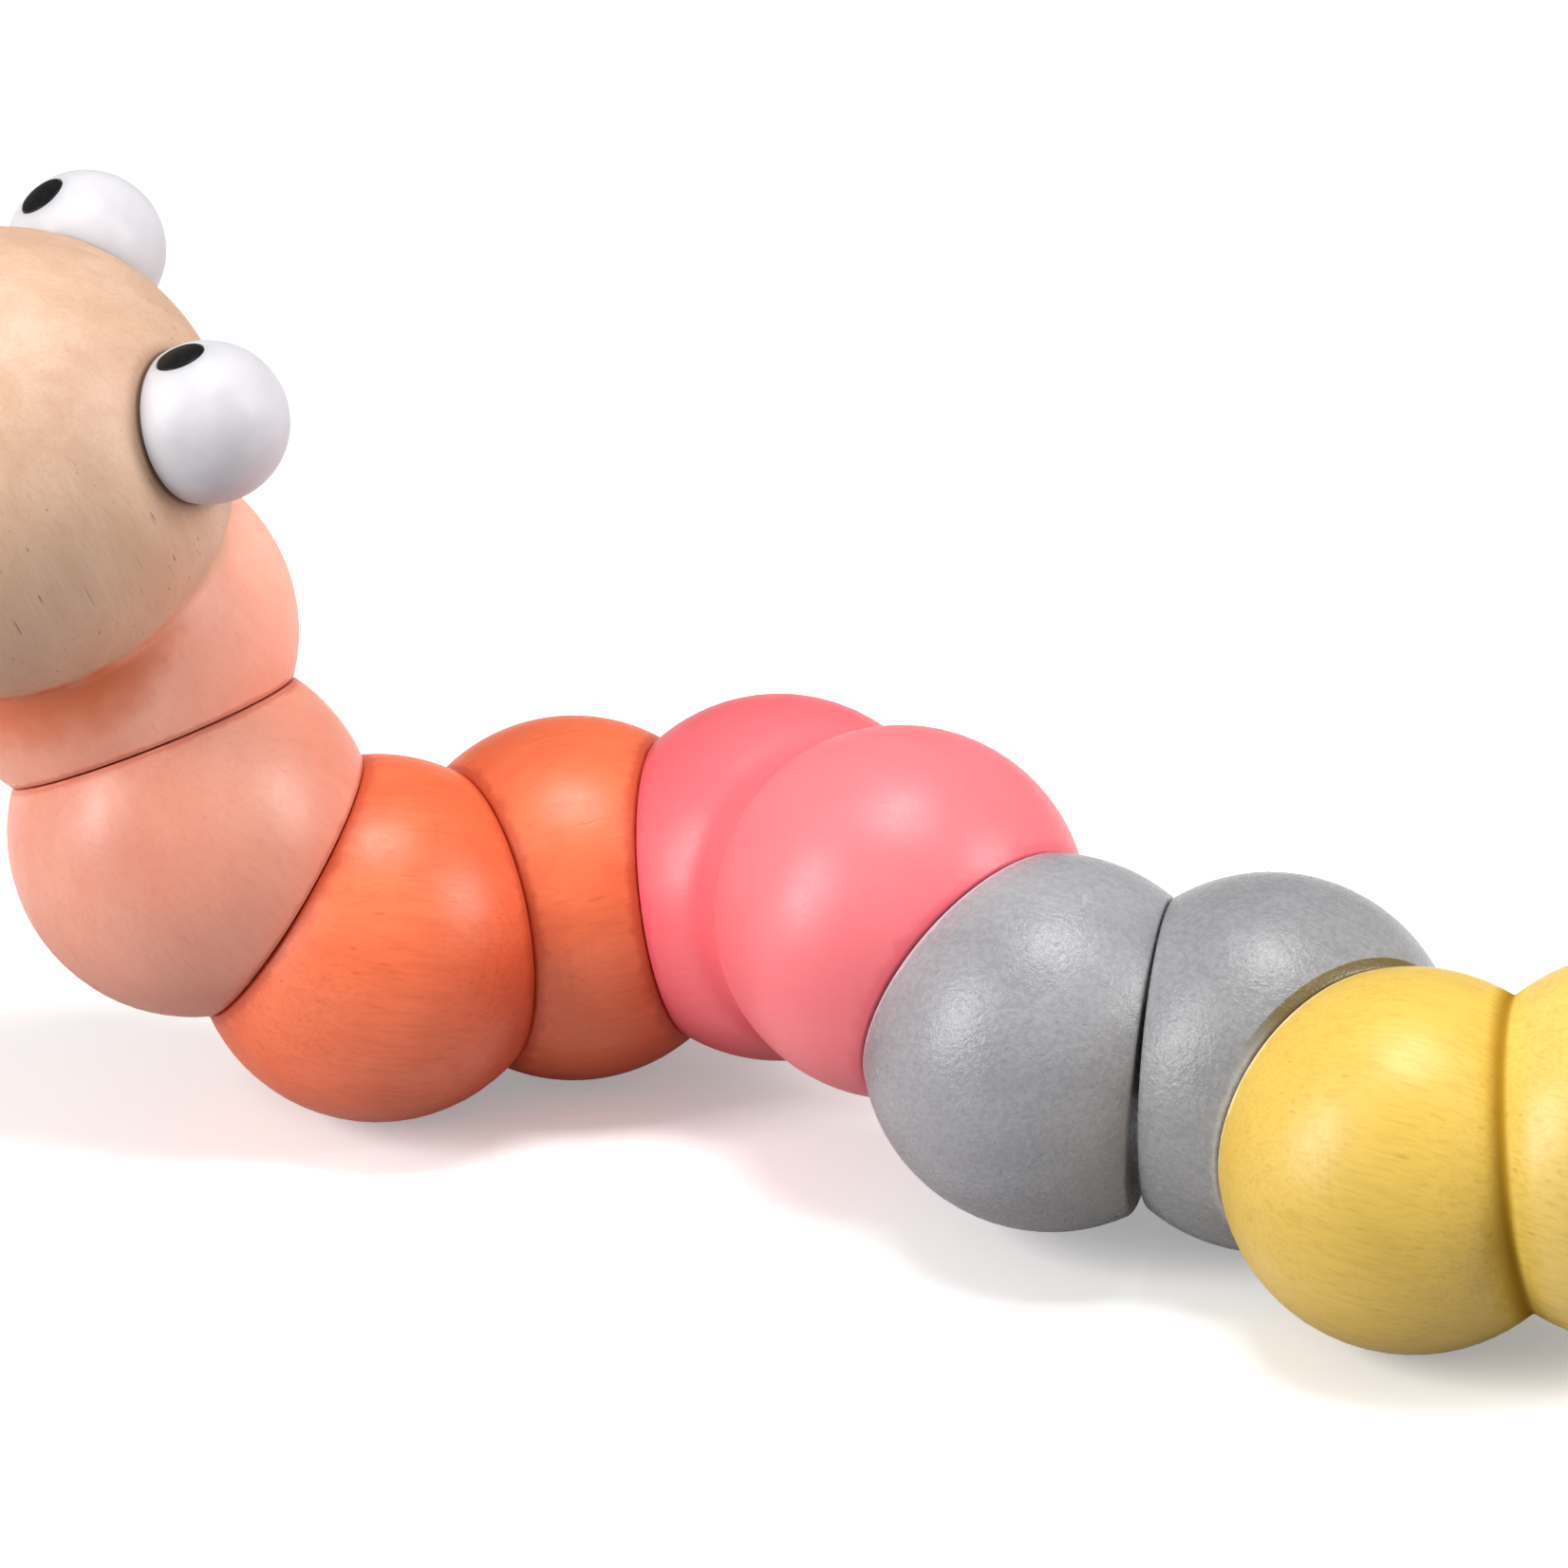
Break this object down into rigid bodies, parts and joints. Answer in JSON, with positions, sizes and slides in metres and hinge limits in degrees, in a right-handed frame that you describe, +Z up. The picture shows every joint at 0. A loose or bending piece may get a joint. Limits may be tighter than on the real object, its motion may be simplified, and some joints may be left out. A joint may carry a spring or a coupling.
{
  "type": "twisting wooden worm toy",
  "caption": "Wooden worm toy of turned balls with flat faces, joined by swivel pins so that each piece twists on the next; a plain wood head with two bead eyes.",
  "frame": {"origin": "on the floor under the middle of the toy as it stands", "axes": "+Z up; +X from the head to the tail, across the view from the front; +Y away from that view"},
  "size_m": [0.1882, 0.0924, 0.0886],
  "materials": {
    "head_wood": "beech, clear satin lacquer; the neck ball is painted salmon",
    "paint_salmon": "turned wood, salmon satin paint",
    "paint_orange": "turned wood, orange satin paint",
    "paint_pink": "turned wood, pink satin paint",
    "paint_grey": "turned wood, grey satin paint",
    "paint_yellow": "turned wood, thin yellow satin stain",
    "eye_white": "turned bead, white satin paint",
    "pupil_black": "short dowel, black paint",
    "dowel_wood": "plain beech dowel",
    "pin_steel": "plated steel",
    "spring_steel": "spring steel",
    "nylon": "natural nylon"
  },
  "bodies": {
    "head": {"head_and_neck": "head_wood", "eye_right": "eye_white", "pupil_right": "pupil_black", "eye_dowel_right": "dowel_wood", "eye_left": "eye_white", "pupil_left": "pupil_black", "eye_dowel_left": "dowel_wood", "bush_1": "nylon"},
    "salmon": {"ball_salmon": "paint_salmon", "swivel_pin_1": "pin_steel", "spring_washer_1": "spring_steel", "bush_2": "nylon"},
    "orange_front": {"ball_orange_front": "paint_orange", "swivel_pin_2": "pin_steel", "spring_washer_2": "spring_steel", "bush_3": "nylon"},
    "orange_rear": {"ball_orange_rear": "paint_orange", "swivel_pin_3": "pin_steel", "spring_washer_3": "spring_steel", "bush_4": "nylon"},
    "pink": {"pair_pink": "paint_pink", "swivel_pin_4": "pin_steel", "spring_washer_4": "spring_steel", "bush_5": "nylon"},
    "grey_front": {"ball_grey_front": "paint_grey", "swivel_pin_5": "pin_steel", "spring_washer_5": "spring_steel", "bush_6": "nylon"},
    "grey_rear": {"ball_grey_rear": "paint_grey", "swivel_pin_6": "pin_steel", "spring_washer_6": "spring_steel", "bush_7": "nylon"},
    "tail": {"tail_pair_yellow": "paint_yellow", "swivel_pin_7": "pin_steel", "spring_washer_7": "spring_steel"}
  },
  "joints": [
    {"name": "neck_twist", "type": "hinge", "parent": "salmon", "child": "head", "pos_m": [-0.05935, 0.02303, 0.03762], "axis": [-0.3587, 0.2716, 0.8931], "continuous": true},
    {"name": "salmon_twist", "type": "hinge", "parent": "orange_front", "child": "salmon", "pos_m": [-0.04711, 0.0201, 0.023], "axis": [-0.8418, 0.0154, 0.5396], "continuous": true},
    {"name": "orange_twist", "type": "hinge", "parent": "orange_front", "child": "orange_rear", "pos_m": [-0.0293, 0.0243, 0.0175], "axis": [-0.9044, -0.4268, 0], "continuous": true},
    {"name": "pink_twist", "type": "hinge", "parent": "orange_rear", "child": "pink", "pos_m": [-0.01022, 0.02687, 0.01946], "axis": [-0.9656, 0.1748, -0.1926], "continuous": true},
    {"name": "grey_front_twist", "type": "hinge", "parent": "pink", "child": "grey_front", "pos_m": [0.01785, 0.00193, 0.02239], "axis": [0.6714, -0.6646, -0.3281], "continuous": true},
    {"name": "grey_rear_twist", "type": "hinge", "parent": "grey_front", "child": "grey_rear", "pos_m": [0.0347, -0.00682, 0.01901], "axis": [-0.9811, 0.1934, 0.0025], "continuous": true},
    {"name": "tail_twist", "type": "hinge", "parent": "grey_rear", "child": "tail", "pos_m": [0.05069, -0.01702, 0.01824], "axis": [0.5862, -0.8069, -0.0729], "continuous": true}
  ]
}
